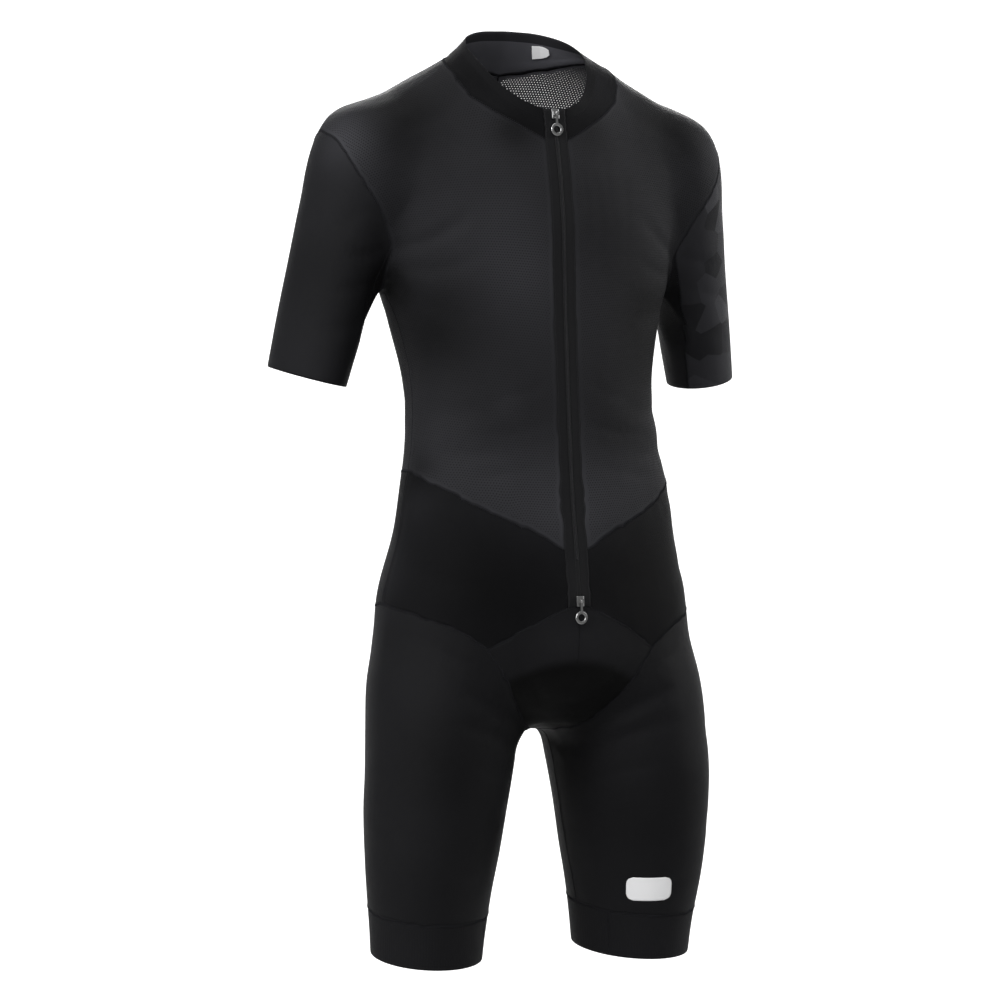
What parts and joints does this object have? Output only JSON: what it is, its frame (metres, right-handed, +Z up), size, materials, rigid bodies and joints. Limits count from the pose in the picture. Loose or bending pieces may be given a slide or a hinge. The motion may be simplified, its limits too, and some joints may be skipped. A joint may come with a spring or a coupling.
{
  "type": "cycling skinsuit",
  "caption": "Short-sleeved road cycling skinsuit in worn, hollow form, open at neck, cuffs and leg hems, with a full-length front zip whose pull tabs swing.",
  "frame": {"origin": "on the middle line at the height of the shoulder tops, where the wearer carries the garment", "axes": "+Z up, -Y towards the garment's front, +X towards the wearer's left"},
  "size_m": [0.5236, 0.2553, 0.969],
  "materials": {
    "mesh_cloth": "black open hexagon-net knit with a dull surface",
    "stretch_cloth": "black fine stretch knit with a slight sheen",
    "sleeve_cloth": "black smooth aero knit with a slight sheen",
    "gripper_cloth": "black dense elastic band",
    "collar_cloth": "black double knit",
    "zip_tape": "black woven tape",
    "coil_plastic": "dark grey nylon coil",
    "slider_metal": "polished nickel-plated zinc",
    "tag_cloth": "white blank transfer tag",
    "thread": "black flat-seam stitching",
    "print_film": "light grey blank heat-transfer print"
  },
  "bodies": {
    "garment": {"front_left": "mesh_cloth", "front_right": "mesh_cloth", "back_left": "mesh_cloth", "back_right": "mesh_cloth", "hip_front_left": "stretch_cloth", "hip_front_right": "stretch_cloth", "hip_back_left": "stretch_cloth", "hip_back_right": "stretch_cloth", "leg_left": "stretch_cloth", "leg_right": "stretch_cloth", "gusset_front": "stretch_cloth", "gripper_left": "gripper_cloth", "gripper_right": "gripper_cloth", "sleeve_outer_left": "sleeve_cloth", "sleeve_outer_right": "sleeve_cloth", "sleeve_under_left": "sleeve_cloth", "sleeve_under_right": "sleeve_cloth", "collar": "collar_cloth", "neck_tag": "tag_cloth", "zip_tape_left": "zip_tape", "zip_tape_right": "zip_tape", "zip_coil": "coil_plastic", "slider_upper": "slider_metal", "slider_lower": "slider_metal"},
    "pull_upper": {"pull_upper": "slider_metal"},
    "pull_lower": {"pull_lower": "slider_metal"}
  },
  "joints": [
    {"name": "pull_upper_swing", "type": "hinge", "parent": "garment", "child": "pull_upper", "pos_m": [0, -0.06959, -0.02387], "axis": [-1, 0, 0], "range_deg": [0, 155]},
    {"name": "pull_lower_swing", "type": "hinge", "parent": "garment", "child": "pull_lower", "pos_m": [0, -0.13033, -0.52205], "axis": [-1, 0, 0], "range_deg": [-5, 155]}
  ]
}
